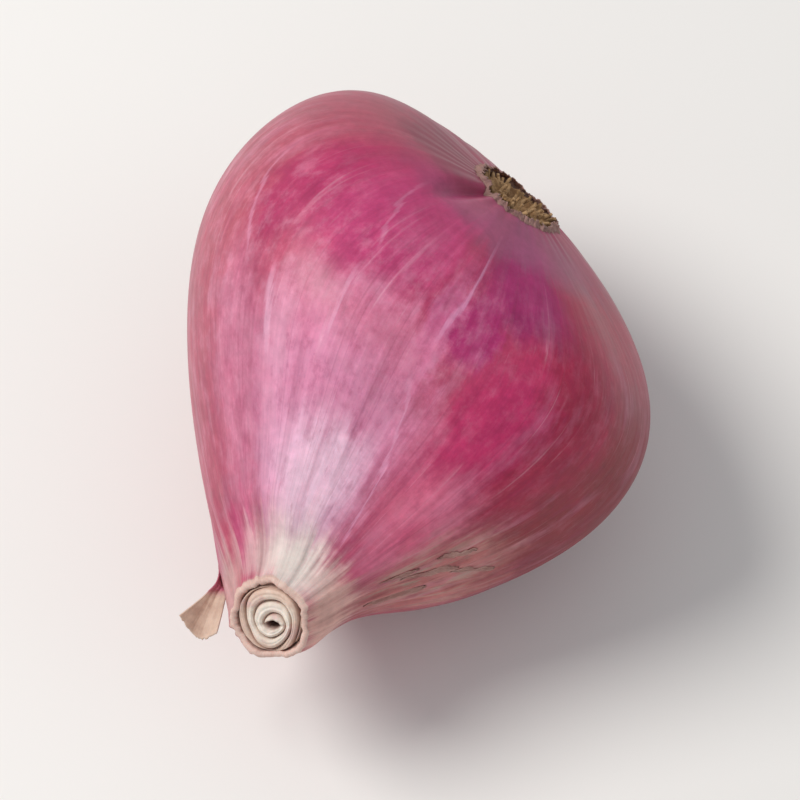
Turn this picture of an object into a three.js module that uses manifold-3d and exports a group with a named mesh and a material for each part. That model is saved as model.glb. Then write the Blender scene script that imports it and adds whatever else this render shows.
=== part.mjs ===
import * as THREE from 'three';
import { mergeVertices } from 'three/addons/utils/BufferGeometryUtils.js';
import Module from 'manifold-3d';

// A pink shallot lying on its belly, grown as two lobes that share one skin.
// +Y runs from the neck to the root end, +X towards the right lobe seen from the neck, +Z is up.
// Lengths are in millimetres. The origin is on the resting surface, under the middle of the shallot.

// Axis: from the middle of the root plate to the neck end, bent in the upright plane along Y
const AXIS_LENGTH = 40.3;
const AXIS_DRIFT = -0.13; // sideways shift that grows towards the neck end
const NECK_SIDESTEP = 0.45; // more of it, where the neck curls
const ROOT_PITCH = -39; // degrees, how steeply the axis leaves the root plate downwards
const NECK_PITCH = 16; // degrees, how steeply it reaches the neck upwards
const NECK_CURL = 24; // degrees more, all of it close to the neck end
const CURL_START = 0.82; // where the curl begins, as a share of the axis
const ROOT_PITCH_FADE = 1.5; // powers of the share: how soon each pitch fades away from its own end
const NECK_PITCH_FADE = 2.5;

// Lobes: two teardrops side by side. Curve powers say how blunt each is at the root and at the neck.
const LEFT_LOBE = { side: -1, radius: 15, rootPower: 0.57, neckPower: 1.17, offset: 0.44, shoulder: 5.3 };
const RIGHT_LOBE = { side: 1, radius: 13.65, rootPower: 0.73, neckPower: 1.38, offset: 0.23, shoulder: -1.4 };
const LOBE_FADE = 0.7; // how fast the two lobes become one towards the neck
const LOBE_BLEND = 0.12; // softness of the furrow between them
const UNDERSIDE_TAPER = 0.15; // how much sooner the underside narrows than the top
const BELLY_DEPTH = 1.04; // the underside is this much deeper than round
const SHOULDER_REACH = 9; // how close to the root plate the shoulders rise past it
const SHOULDER_WIDTH = 1.5; // above 1 keeps them narrow, out at the sides
const THROAT_DEPTH = 1.9; // pinch under the right of the neck, just behind its end
const THROAT_PLACE = 0.85; // as a share of the axis
const THROAT_SPAN = 0.1;
const THROAT_ANGLE = -45; // degrees round from +X

// Neck: the dry end of the leaf sheaths, with a rounded rim and a shallow hollow
const NECK_RADIUS = 2.95;
const NECK_FULL = 0.95; // share of the axis by which the body tapers down onto that radius
const NECK_FLARE = 0.18; // how much the very end spreads
const FLARE_START = 0.9;
const RIM_RADIUS = 0.7;
const HOLLOW_DEPTH = 0.8;
const HOLLOW_FLOOR = { radius: 0.6, depth: 0.85 }; // edge of its floor, as shares of its mouth and depth

// Root plate: the corky disc that the roots grew from, with the dry stubs of those roots
const PLATE_RADIUS = 3.1;
const PLATE_DEPTH = 2.1; // from the skin around it down to its base
const PLATE_SINK = 0.9; // from the skin around it down to its rim
const PLATE_SIDES = 24;
const STUB_COUNT = 14;
const STUB_LENGTH = 1.2;
const STUB_SHORTEST = 0.7; // the shortest, as a share of that length
const STUB_RADIUS = 0.34;
const STUB_RING = 2.2; // radius of the ring that the stubs stand on
const STUB_SPLAY = 48; // degrees
const STUB_SIDES = 6;
const RECESS_MOUTH = 5; // how far outwards the space around the plate is kept clear
const RECESS_SPREAD = 0.8; // how much it widens for each millimetre outwards

// Loose flap of dry outer skin beside the neck, narrow where it leaves the neck and flared at its torn end.
// Its outer and inner edges are straight; OUT and AHEAD are how far each gets in the flap's own directions.
const FLAP_START = 0.915; // where it leaves the neck, as a share of the axis
const FLAP_ANGLE = 203; // degrees round the neck from +X
const FLAP_OUT = new THREE.Vector3(-0.86, -0.5, 0).normalize();
const FLAP_AHEAD = new THREE.Vector3(0.44, -0.76, -0.48).normalize();
const FLAP_ROOT_WIDTH = 0.6;
const FLAP_OUTER_EDGE = { out: 2.15, ahead: 1.75 };
const FLAP_INNER_EDGE = { out: 0.7, ahead: 3.05 };
const FLAP_TIP = 1.1; // bulge of the torn end
const FLAP_DROOP = 0.8;
const FLAP_CUP = 0.3; // how far its middle stands above its edges
const FLAP_THICKNESS = 0.35;
const FLAP_CLEARANCE = 0.65; // from the skin to the middle of the flap's root
const FLAP_STEPS = { along: 8, across: 6 };

const REST_FLAT = 0.6; // depth taken off the belly, which gives the spot that it lies on
const GAP = 0.3; // between neighbouring solids
const RINGS = 46;
const RING_CROWDING = 1.7; // above 1 puts more rings at the root, where the skin turns fastest
const SEGMENTS = 64;
const AXIS_STEPS = 240;

const radians = THREE.MathUtils.degToRad;
const smooth = (x) => THREE.MathUtils.smoothstep(x, 0, 1);
const curlAt = (s) => smooth((s - CURL_START) / (1 - CURL_START));

// The axis, stepped along its heading once
function layAxis() {
  const points = [new THREE.Vector3()];
  const headings = [];
  for (let i = 0; i <= AXIS_STEPS; i++) {
    const s = i / AXIS_STEPS;
    const pitch = radians(ROOT_PITCH) * (1 - s) ** ROOT_PITCH_FADE
      + radians(NECK_PITCH) * s ** NECK_PITCH_FADE + radians(NECK_CURL) * curlAt(s);
    headings.push(new THREE.Vector3(0, -Math.cos(pitch), Math.sin(pitch)));
    if (i > 0) {
      const step = headings[i].clone().add(headings[i - 1]).multiplyScalar(AXIS_LENGTH / AXIS_STEPS / 2);
      points.push(points[i - 1].clone().add(step));
    }
  }
  return { points, headings };
}
const AXIS = layAxis();

// The axis at a share s of its length: a place, the heading and the upward normal
function axisAt(s) {
  const exact = s * AXIS_STEPS;
  const i = Math.min(Math.floor(exact), AXIS_STEPS - 1);
  const place = AXIS.points[i].clone().lerp(AXIS.points[i + 1], exact - i);
  place.x += AXIS_DRIFT * s * s + NECK_SIDESTEP * curlAt(s);
  const heading = AXIS.headings[i].clone().lerp(AXIS.headings[i + 1], exact - i).normalize();
  const normal = new THREE.Vector3(0, heading.z, -heading.y);
  return { place, heading, normal };
}

// Rises from 0 at the root to 1 at the lobe's fullest and falls to 0 at the neck
function teardrop(s, rootPower, neckPower) {
  const peak = rootPower / (rootPower + neckPower);
  return (s / peak) ** rootPower * ((1 - s) / (1 - peak)) ** neckPower;
}

// Distance from the axis to a lobe's side, which is round about a centre moved off the axis
function lobeReach(lobe, s, angle) {
  const underside = (1 - Math.sin(angle)) / 2;
  const radius = lobe.radius * teardrop(s, lobe.rootPower, lobe.neckPower + UNDERSIDE_TAPER * underside)
    + NECK_RADIUS * smooth(s / NECK_FULL) + NECK_FLARE * smooth((s - FLARE_START) / (1 - FLARE_START));
  const centre = lobe.side * lobe.offset * (1 - s) ** LOBE_FADE * radius;
  const across = Math.sqrt(Math.max(radius ** 2 - (centre * Math.sin(angle)) ** 2, 0));
  return { radius, reach: centre * Math.cos(angle) + across };
}

// A point of the skin: s runs from the root plate to the neck, angle goes round from +X over the top
function skinPoint(s, angle) {
  const { place, heading, normal } = axisAt(s);
  const left = lobeReach(LEFT_LOBE, s, angle);
  const right = lobeReach(RIGHT_LOBE, s, angle);
  const separate = (1 - s) ** LOBE_FADE;
  const blend = LOBE_BLEND * (left.radius + right.radius) / 2 * separate;
  const around = Math.max(Math.cos(angle - radians(THROAT_ANGLE)), 0) ** 2;
  const throat = THROAT_DEPTH * around * Math.exp(-(((s - THROAT_PLACE) / THROAT_SPAN) ** 2));
  const reach = (left.reach + right.reach + Math.hypot(left.reach - right.reach, blend)) / 2 - throat;
  const across = reach * Math.cos(angle);
  const belly = Math.sin(angle) < 0 ? 1 + (BELLY_DEPTH - 1) * separate : 1;
  const up = reach * Math.sin(angle) * belly;
  const shoulder = across < 0 ? LEFT_LOBE.shoulder : RIGHT_LOBE.shoulder;
  const rise = SHOULDER_REACH * s * Math.exp(1 - SHOULDER_REACH * s);
  const back = shoulder * Math.abs(Math.cos(angle)) ** SHOULDER_WIDTH * rise;
  return place.addScaledVector(new THREE.Vector3(1, 0, 0), across)
    .addScaledVector(normal, up)
    .addScaledVector(heading, -back);
}

const turn = (j) => (2 * Math.PI * j) / SEGMENTS;

// Closed solid through rings of points, ending in one point at each end
function ringSolid(first, rings, last) {
  const points = [first, ...rings.flat(), last];
  const faces = [];
  const at = (ring, j) => 1 + ring * SEGMENTS + (j % SEGMENTS);
  for (let j = 0; j < SEGMENTS; j++) {
    faces.push(0, at(0, j + 1), at(0, j));
    for (let ring = 0; ring < rings.length - 1; ring++) {
      faces.push(at(ring, j), at(ring, j + 1), at(ring + 1, j + 1));
      faces.push(at(ring, j), at(ring + 1, j + 1), at(ring + 1, j));
    }
    faces.push(at(rings.length - 1, j), at(rings.length - 1, j + 1), points.length - 1);
  }
  const geometry = new THREE.BufferGeometry().setFromPoints(points);
  geometry.setIndex(faces);
  return geometry;
}

// The whole skin: body, rounded neck rim and the hollow in the neck end
function skinGeometry() {
  const bodyEnd = 1 - RIM_RADIUS / AXIS_LENGTH;
  const rings = [];
  for (let i = 1; i <= RINGS; i++) {
    const s = (i / RINGS) ** RING_CROWDING * bodyEnd;
    rings.push(Array.from({ length: SEGMENTS }, (_, j) => skinPoint(s, turn(j))));
  }
  const { place, heading, normal } = axisAt(bodyEnd);
  const neckRing = (radius, ahead) => Array.from({ length: SEGMENTS }, (_, j) => place.clone()
    .addScaledVector(heading, ahead)
    .addScaledVector(new THREE.Vector3(1, 0, 0), radius * Math.cos(turn(j)))
    .addScaledVector(normal, radius * Math.sin(turn(j))));
  const endRadius = NECK_RADIUS + NECK_FLARE;
  for (const degrees of [45, 90, 135, 180]) {
    const bend = radians(degrees);
    rings.push(neckRing(endRadius - RIM_RADIUS * (1 - Math.cos(bend)), RIM_RADIUS * Math.sin(bend)));
  }
  const mouth = endRadius - 2 * RIM_RADIUS;
  rings.push(neckRing(mouth * HOLLOW_FLOOR.radius, -HOLLOW_DEPTH * HOLLOW_FLOOR.depth));
  return ringSolid(axisAt(0).place, rings, place.clone().addScaledVector(heading, -HOLLOW_DEPTH));
}

const wasm = await Module();
wasm.setup();

function toSolid(geometry) {
  const bare = geometry.clone();
  bare.deleteAttribute('normal');
  bare.deleteAttribute('uv');
  const merged = mergeVertices(bare);
  return new wasm.Manifold(new wasm.Mesh({
    numProp: 3,
    vertProperties: merged.attributes.position.array,
    triVerts: new Uint32Array(merged.index.array),
  }));
}

function toGeometry(solid) {
  const { vertProperties, triVerts } = solid.getMesh();
  const geometry = new THREE.BufferGeometry();
  geometry.setAttribute('position', new THREE.BufferAttribute(vertProperties, 3));
  geometry.setIndex(new THREE.BufferAttribute(triVerts, 1));
  return geometry;
}

// Where the root plate sits: the middle of the skin there, and the way the skin faces around it
function plateSeat() {
  const rimShare = 0.013;
  const [right, top, left, bottom] = [0, 1, 2, 3].map((quarter) => skinPoint(rimShare, quarter * Math.PI / 2));
  const outward = right.clone().sub(left).cross(bottom.clone().sub(top)).normalize();
  const seat = new THREE.Matrix4().makeRotationFromQuaternion(
    new THREE.Quaternion().setFromUnitVectors(new THREE.Vector3(0, 1, 0), outward),
  );
  return seat.setPosition(axisAt(0).place);
}

function lathe(profile) {
  const points = profile.map(([radius, height]) => new THREE.Vector2(radius, height));
  return new THREE.LatheGeometry(points, PLATE_SIDES);
}

// The cork disc, a little hollow in the middle, with its ring of stubs
function plateGeometry() {
  const body = lathe([
    [0, -PLATE_DEPTH],
    [PLATE_RADIUS * 0.8, -PLATE_DEPTH * 0.95],
    [PLATE_RADIUS, -PLATE_DEPTH * 0.7],
    [PLATE_RADIUS * 0.95, -PLATE_SINK],
    [PLATE_RADIUS * 0.72, -PLATE_SINK * 0.6],
    [PLATE_RADIUS * 0.3, -PLATE_SINK * 0.8],
    [0, -PLATE_SINK],
  ]);
  let plate = toSolid(body);
  for (let i = 0; i < STUB_COUNT; i++) {
    const shortness = (i % 3) / 2; // they are broken off at three lengths
    const length = STUB_LENGTH * THREE.MathUtils.lerp(1, STUB_SHORTEST, shortness);
    const stub = new THREE.CylinderGeometry(STUB_RADIUS / 2, STUB_RADIUS, length, STUB_SIDES);
    stub.translate(0, length / 2, 0);
    stub.rotateZ(-radians(STUB_SPLAY));
    stub.translate(STUB_RING, -PLATE_SINK, 0);
    stub.rotateY((2 * Math.PI * i) / STUB_COUNT);
    plate = plate.add(toSolid(stub));
  }
  return toGeometry(plate).applyMatrix4(plateSeat());
}

// Space cleared in the skin for the plate: open outwards, so no skin hangs over the cork
function plateRecess() {
  const floor = -PLATE_DEPTH - GAP;
  const wall = PLATE_RADIUS + GAP * 1.3; // a little more than the gap, since both are many-sided
  return toSolid(lathe([
    [0, floor],
    [PLATE_RADIUS * 0.8 + GAP, floor],
    [wall, -PLATE_DEPTH * 0.7],
    [wall, 0],
    [wall + RECESS_MOUTH * RECESS_SPREAD, RECESS_MOUTH],
    [0, RECESS_MOUTH],
  ]).applyMatrix4(plateSeat()));
}

// A thin sheet as a closed solid, from the surface that pointAt gives for u and v between 0 and 1
function sheetGeometry(pointAt, uSteps, vSteps, thickness) {
  const points = [];
  const step = 0.001; // of u or v, to find the way the surface faces
  for (const side of [1, -1]) {
    for (let i = 0; i <= uSteps; i++) {
      for (let j = 0; j <= vSteps; j++) {
        const [u, v] = [i / uSteps, j / vSteps];
        const alongU = pointAt(u + step, v).sub(pointAt(u - step, v));
        const alongV = pointAt(u, v + step).sub(pointAt(u, v - step));
        const normal = alongU.cross(alongV).normalize();
        points.push(pointAt(u, v).addScaledVector(normal, side * thickness / 2));
      }
    }
  }
  const at = (side, i, j) => side * (uSteps + 1) * (vSteps + 1) + i * (vSteps + 1) + j;
  const faces = [];
  const quad = (a, b, c, d) => faces.push(a, b, c, a, c, d);
  for (let i = 0; i < uSteps; i++) {
    for (let j = 0; j < vSteps; j++) {
      quad(at(0, i, j), at(0, i + 1, j), at(0, i + 1, j + 1), at(0, i, j + 1));
      quad(at(1, i, j), at(1, i, j + 1), at(1, i + 1, j + 1), at(1, i + 1, j));
    }
    quad(at(0, i, 0), at(1, i, 0), at(1, i + 1, 0), at(0, i + 1, 0));
    quad(at(0, i, vSteps), at(0, i + 1, vSteps), at(1, i + 1, vSteps), at(1, i, vSteps));
  }
  for (let j = 0; j < vSteps; j++) {
    quad(at(0, 0, j), at(0, 0, j + 1), at(1, 0, j + 1), at(1, 0, j));
    quad(at(0, uSteps, j), at(1, uSteps, j), at(1, uSteps, j + 1), at(0, uSteps, j + 1));
  }
  const geometry = new THREE.BufferGeometry().setFromPoints(points);
  geometry.setIndex(faces);
  return geometry;
}

// The flap leaves the left of the neck, lies out flat beside it and droops towards its torn end
function flapGeometry() {
  const lift = FLAP_AHEAD.clone().cross(FLAP_OUT).normalize();
  const root = skinPoint(FLAP_START, radians(FLAP_ANGLE)).addScaledVector(FLAP_OUT, FLAP_CLEARANCE);
  const pointAt = (u, v) => {
    const reachOut = THREE.MathUtils.lerp(FLAP_OUTER_EDGE.out, FLAP_INNER_EDGE.out, v) * u;
    const reachAhead = THREE.MathUtils.lerp(FLAP_OUTER_EDGE.ahead, FLAP_INNER_EDGE.ahead, v) * u;
    const tip = FLAP_TIP * Math.sin(Math.PI * v) * u * u;
    return root.clone()
      .addScaledVector(FLAP_OUT, reachOut + (0.5 - v) * FLAP_ROOT_WIDTH)
      .addScaledVector(FLAP_AHEAD, reachAhead + tip)
      .addScaledVector(lift, FLAP_CUP * Math.sin(Math.PI * v) - FLAP_DROOP * u * u);
  };
  return sheetGeometry(pointAt, FLAP_STEPS.along, FLAP_STEPS.across, FLAP_THICKNESS);
}

// Lowest point of the skin, and the slab under it that leaves the flat resting spot
function restSlab(skin) {
  const size = 4 * AXIS_LENGTH;
  skin.computeBoundingBox();
  const slab = new THREE.BoxGeometry(size, size, size);
  slab.translate(0, 0, skin.boundingBox.min.z + REST_FLAT - size / 2);
  return toSolid(slab);
}

function bulbGeometry() {
  const skin = skinGeometry();
  return toGeometry(toSolid(skin).subtract(plateRecess()).subtract(restSlab(skin)));
}

function makeMesh(name, geometry, color, roughness) {
  const material = new THREE.MeshStandardMaterial({ color, roughness, metalness: 0 });
  const mesh = new THREE.Mesh(geometry, material);
  mesh.name = name;
  return mesh;
}

const pieces = new THREE.Group();
pieces.add(makeMesh('bulb', bulbGeometry(), 0xbb5c7e, 0.42));
pieces.add(makeMesh('root_plate', plateGeometry(), 0x8d6b50, 0.9));
pieces.add(makeMesh('skin_flap', flapGeometry(), 0xb59a86, 0.65));

// Stand the pieces on the surface, with the middle of their box over the origin
const box = new THREE.Box3().setFromObject(pieces);
const middle = box.getCenter(new THREE.Vector3());
pieces.position.set(-middle.x, -middle.y, -box.min.z);

const shallot = new THREE.Group();
shallot.add(pieces);

export default shallot;
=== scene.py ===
import math

import bmesh
import bpy
import numpy as np
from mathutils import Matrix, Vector, noise


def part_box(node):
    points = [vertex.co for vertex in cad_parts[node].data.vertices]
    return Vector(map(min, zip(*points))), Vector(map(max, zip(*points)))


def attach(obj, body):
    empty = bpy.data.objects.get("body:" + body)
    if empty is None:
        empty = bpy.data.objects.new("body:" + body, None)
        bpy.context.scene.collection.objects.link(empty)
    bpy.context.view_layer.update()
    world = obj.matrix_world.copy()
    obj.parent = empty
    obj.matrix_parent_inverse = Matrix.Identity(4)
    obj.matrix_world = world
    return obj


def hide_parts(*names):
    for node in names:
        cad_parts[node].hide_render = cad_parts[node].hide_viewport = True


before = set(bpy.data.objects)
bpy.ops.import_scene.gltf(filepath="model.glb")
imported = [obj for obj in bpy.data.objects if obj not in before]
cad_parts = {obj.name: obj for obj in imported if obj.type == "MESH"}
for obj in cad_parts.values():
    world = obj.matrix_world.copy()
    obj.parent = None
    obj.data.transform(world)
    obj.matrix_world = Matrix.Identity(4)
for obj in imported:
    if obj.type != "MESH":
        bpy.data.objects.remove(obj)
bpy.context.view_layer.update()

MM = 0.001

# ---------------------------------------------------------------------------------------------
# Bulb skin: the papery outer scales of a shallot that grew as two lobes inside one skin.
# The skin runs from the root plate to the neck in fine veins, is stretched tight over the lobes
# and gathers into pleats at both ends. It turns in over the neck's rim and lines the hollow there.

# Lengths are in millimetres. Places along the bulb are shares of its axis, from root plate to neck.
AXIS_LENGTH = 40.3
AXIS_DRIFT, NECK_SIDESTEP = -0.13, 0.45
ROOT_PITCH, NECK_PITCH, NECK_CURL = np.radians([-39, 16, 24])
ROOT_PITCH_FADE, NECK_PITCH_FADE = 1.5, 2.5
CURL_START = 0.82
LEFT_LOBE = {"side": -1, "radius": 15, "offset": 0.44, "shoulder": 5.3,
             "root_power": 0.57, "neck_power": 1.17}
RIGHT_LOBE = {"side": 1, "radius": 13.65, "offset": 0.23, "shoulder": -1.4,
              "root_power": 0.73, "neck_power": 1.38}
COLLAR_SHARE = 0.95
LOBE_FADE = 0.7
LOBE_BLEND = 0.12
UNDERSIDE_TAPER = 0.15
BELLY_DEPTH = 1.04
SHOULDER_REACH, SHOULDER_WIDTH = 9, 1.5
THROAT_DEPTH, THROAT_PLACE, THROAT_SPAN, THROAT_ANGLE = 1.9, 0.85, 0.1, np.radians(-45)
NECK_RADIUS, NECK_FLARE, FLARE_START = 2.95, 0.18, 0.9
NECK_END_RADIUS = NECK_RADIUS + NECK_FLARE
CAD_RIM = 0.7  # the rounding of the neck's edge on the CAD bulb
RIM_RADIUS = 0.26
HOLLOW_DEPTH = 1.5
PLATE_RADIUS, PLATE_DEPTH = 3.1, 2.1
SIDEWAYS = np.array([1.0, 0, 0])

SEGMENTS, BODY_RINGS = 336, 266
RING_CROWDING = 1.6  # draws the rings together towards the root plate


def smooth(x):
    x = np.clip(x, 0, 1)
    return x * x * (3 - 2 * x)


def bell(x, middle, width):
    """1 at the middle, falling to nothing a few widths away."""
    return np.exp(-(((x - middle) / width) ** 2))


def lay_axis():
    """Places and headings along the bulb's bent axis, from the root plate to the neck end."""
    share = np.linspace(0, 1, 401)
    pitch = ROOT_PITCH * (1 - share) ** ROOT_PITCH_FADE + NECK_PITCH * share**NECK_PITCH_FADE
    curl = smooth((share - CURL_START) / (1 - CURL_START))
    pitch = pitch + NECK_CURL * curl
    heading = np.stack([0 * pitch, -np.cos(pitch), np.sin(pitch)], axis=1)
    step = (heading[1:] + heading[:-1]) / 2 * AXIS_LENGTH / (len(share) - 1)
    place = np.concatenate([np.zeros((1, 3)), np.cumsum(step, axis=0)])
    place[:, 0] += AXIS_DRIFT * share**2 + NECK_SIDESTEP * curl
    return share, place, heading


AXIS = lay_axis()


def axis_at(s):
    """Place, heading and upward normal of the axis at a share s of its length."""
    share, places, headings = AXIS
    place = np.stack([np.interp(s, share, places[:, i]) for i in range(3)], -1)
    heading = np.stack([np.interp(s, share, headings[:, i]) for i in range(3)], -1)
    heading = heading / np.linalg.norm(heading, axis=-1, keepdims=True)
    normal = np.stack([0 * heading[..., 0], heading[..., 2], -heading[..., 1]], -1)
    return place, heading, normal


def teardrop(s, root_power, neck_power):
    """A lobe's fullness: nothing at both ends and 1 at its widest place."""
    peak = root_power / (root_power + neck_power)
    return (s / peak) ** root_power * ((1 - s) / (1 - peak)) ** neck_power


def lobe_reach(lobe, s, angle):
    """A lobe's radius, and how far it reaches from the bulb's axis in a direction."""
    underside = (1 - np.sin(angle)) / 2
    fullness = teardrop(s, lobe["root_power"], lobe["neck_power"] + UNDERSIDE_TAPER * underside)
    flare = NECK_FLARE * smooth((s - FLARE_START) / (1 - FLARE_START))
    radius = lobe["radius"] * fullness + NECK_RADIUS * smooth(s / COLLAR_SHARE) + flare
    centre = lobe["side"] * lobe["offset"] * (1 - s) ** LOBE_FADE * radius
    across = np.sqrt(np.maximum(radius**2 - (centre * np.sin(angle)) ** 2, 0))
    return radius, centre * np.cos(angle) + across


def bare_form(s, angle):
    """The bulb's smooth form in millimetres, seen from the middle of its root plate."""
    s, angle = np.broadcast_arrays(np.clip(s, 0, 1), angle)
    place, heading, normal = axis_at(s)
    left_radius, left = lobe_reach(LEFT_LOBE, s, angle)
    right_radius, right = lobe_reach(RIGHT_LOBE, s, angle)
    separate = (1 - s) ** LOBE_FADE
    blend = LOBE_BLEND * (left_radius + right_radius) / 2 * separate
    throat_side = np.maximum(np.cos(angle - THROAT_ANGLE), 0) ** 2
    throat = THROAT_DEPTH * throat_side * bell(s, THROAT_PLACE, THROAT_SPAN)
    reach = (left + right + np.hypot(left - right, blend)) / 2 - throat
    across, up = reach * np.cos(angle), reach * np.sin(angle)
    up = np.where(up < 0, up * (1 + (BELLY_DEPTH - 1) * separate), up)
    shoulder = np.where(across < 0, LEFT_LOBE["shoulder"], RIGHT_LOBE["shoulder"])
    rise = SHOULDER_REACH * s * np.exp(1 - SHOULDER_REACH * s)
    back = shoulder * np.abs(np.cos(angle)) ** SHOULDER_WIDTH * rise
    return place + across[..., None] * SIDEWAYS + up[..., None] * normal - back[..., None] * heading


def find_shift():
    """From the root plate's frame to the shared frame: the CAD bulb's box says where the form lies."""
    low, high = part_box("bulb")
    rim_start = 1 - CAD_RIM / AXIS_LENGTH
    form = bare_form(np.linspace(0, rim_start, 400)[:, None], np.linspace(0, 2 * np.pi, 361)[None, :])
    place, heading, _ = axis_at(np.array(rim_start))
    lowest, highest = form.reshape(-1, 3).min(0), form.reshape(-1, 3).max(0)
    neck_tip = (place + heading * CAD_RIM)[1] - (NECK_END_RADIUS - CAD_RIM) * heading[2]
    lowest[1] = min(lowest[1], neck_tip)
    shift = (np.array(low) + np.array(high)) / MM / 2 - (lowest + highest) / 2
    shift[2] = high[2] / MM - highest[2]
    return shift


SHIFT = find_shift()


def ribs(s, angle, counts, seed, drift=1.5):
    """Uneven ribs that run from root to neck, about 1 high, and meet where the turn closes."""
    random = np.random.default_rng(seed)
    total = 0
    for count in counts:
        phase = random.uniform(0, 2 * np.pi)
        wander = random.normal(0, drift)
        size = random.uniform(0.4, 1.3)
        total = total + size * np.cos(count * angle + phase + wander * s)
    return total / math.sqrt(len(counts) / 2)


def relief(s, angle):
    """How far the real skin stands off the smooth form, in millimetres."""
    degrees = np.degrees(angle)
    swell = 0.15 * ribs(s, angle, range(3, 8), seed=3, drift=5) * smooth(s / 0.1)
    veins = 0.006 * ribs(s, angle, range(24, 110, 3), seed=5, drift=6) * smooth(s / 0.12)
    neck_pleats = 0.055 * ribs(s, angle, range(9, 34, 2), seed=8, drift=3) * smooth((s - 0.72) / 0.2)
    root_pleats = 0.02 * ribs(s, angle, range(12, 44, 3), seed=13, drift=8) * bell(s, 0.02, 0.025)
    crinkled_part = bell(degrees, 12, 26) * bell(s, 0.74, 0.12)
    wrinkles = 0.09 * ribs(s, angle, range(30, 72, 4), seed=21, drift=26) * crinkled_part
    lapped_edge = 0.14 * smooth((degrees - 125.5) / 2) * bell(degrees, 126, 22) * smooth((s - 0.55) / 0.2)
    vein_ridge = 0.13 * bell(degrees, 64 + 8 * (0.93 - s), 2.6) * bell(s, 0.87, 0.1)
    valleys = -0.12 * (bell(degrees, 72, 2.4) + bell(degrees, 84, 1.8)) * bell(s, 0.91, 0.05)
    furrow_line = 112 - 300 * (s - 0.03) ** 2
    furrow = -0.55 * bell(degrees, furrow_line, 5) * smooth(s / 0.012) * bell(s, 0.03, 0.035)
    fold = 0.3 * smooth((degrees - 112) / 5) * bell(degrees, 112, 26) * bell(s, 0.035, 0.03)
    pleats = neck_pleats + root_pleats + wrinkles
    return swell + veins + pleats + lapped_edge + vein_ridge + valleys + furrow + fold


def skin_at(s, angle, height=0.0):
    """A point of the skin in the shared frame, in millimetres, lifted off it by a height."""
    s, angle = np.broadcast_arrays(np.asarray(s, float), np.asarray(angle, float))
    step = 1e-3
    low, high = np.clip(s - step, 0.0005, 1), np.clip(s + step, 0.0015, 1)
    along = bare_form(high, angle) - bare_form(low, angle)
    around = bare_form(s, angle + step) - bare_form(s, angle - step)
    normal = np.cross(around, along)
    normal = normal / np.maximum(np.linalg.norm(normal, axis=-1, keepdims=True), 1e-9)
    return bare_form(s, angle) + SHIFT + normal * (relief(s, angle) + height)[..., None]


def press_flat(points):
    """The belly's resting spot: what would lie below the surface is pressed up to it."""
    softness = 0.12
    z = points[..., 2]
    points[..., 2] = (z + np.hypot(z, softness)) / 2
    return points


def plate_seat():
    """Where the root plate sits: its middle and its outward direction, with two directions across it."""
    rim_share = 0.013
    right, top, left, bottom = (bare_form(rim_share, quarter * np.pi / 2) for quarter in range(4))
    outward = np.cross(right - left, bottom - top)
    outward = outward / np.linalg.norm(outward)
    across = np.cross(outward, [0, 0, 1.0])
    across = across / np.linalg.norm(across)
    return axis_at(np.array(0.0))[0] + SHIFT, outward, across, np.cross(outward, across)


SEAT = plate_seat()


def sink_plate_recess(points):
    """The skin dips round the root plate inside an uneven edge, with no skin hanging over the cork."""
    middle, outward, across, upward = SEAT
    away = points - middle
    height = away @ outward
    side, rise = away @ across, away @ upward
    around = np.arctan2(rise, side)
    radius = np.hypot(side, rise) + 0.12 * np.sin(7 * around) + 0.07 * np.sin(17 * around)
    edge = PLATE_RADIUS + 0.25
    wall = -PLATE_DEPTH + PLATE_DEPTH * smooth((radius - edge + 0.3) / 0.6)
    limit = wall + np.maximum(radius - edge, 0) * 1.1
    near = radius < edge + 5
    lowered = np.where(near, (height + limit - np.hypot(height - limit, 0.08)) / 2, height)
    return points + (lowered - height)[..., None] * outward


def neck_end(angle):
    """The rings of the neck's rim, then of the hollow, each with its radius and how far ahead it is."""
    place, heading, normal = axis_at(np.array(1 - RIM_RADIUS / AXIS_LENGTH))
    rings = []
    for bend in np.radians(np.linspace(18, 180, 10)):
        rings.append((NECK_END_RADIUS - RIM_RADIUS * (1 - math.cos(bend)), RIM_RADIUS * math.sin(bend)))
    inner = NECK_END_RADIUS - 2 * RIM_RADIUS
    for share in np.linspace(0.2, 1, 5):
        rings.append((inner * (1 - 0.1 * share), -HOLLOW_DEPTH * share))
    for share in (0.7, 0.4, 0.15):
        rings.append((inner * 0.9 * share, -HOLLOW_DEPTH - 0.1))
    uneven = 0.07 * ribs(0, angle, range(2, 9), seed=31)
    for radius, ahead in rings:
        top = smooth((ahead + 0.5) / 0.6)
        reach = radius + (0.035 * ribs(0, angle, range(3, 21, 3), seed=32) + 0.5 * relief(1, angle)) * top
        lift = ahead + uneven * top
        ring = place + lift[:, None] * heading + (reach * np.cos(angle))[:, None] * SIDEWAYS
        yield ring + (reach * np.sin(angle))[:, None] * normal + SHIFT


def make_mesh(name, points, faces, uv=None):
    """An object in metres from points in millimetres, with one UV pair for each corner of each face."""
    mesh = bpy.data.meshes.new(name)
    mesh.from_pydata((np.asarray(points) * MM).tolist(), [], faces)
    if uv is not None:
        layer = mesh.uv_layers.new(name="skin")
        layer.data.foreach_set("uv", np.asarray(uv, np.float32).ravel())
    mesh.polygons.foreach_set("use_smooth", [True] * len(mesh.polygons))
    mesh.update()
    piece = bpy.data.objects.new(name, mesh)
    bpy.context.scene.collection.objects.link(piece)
    return piece


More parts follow.
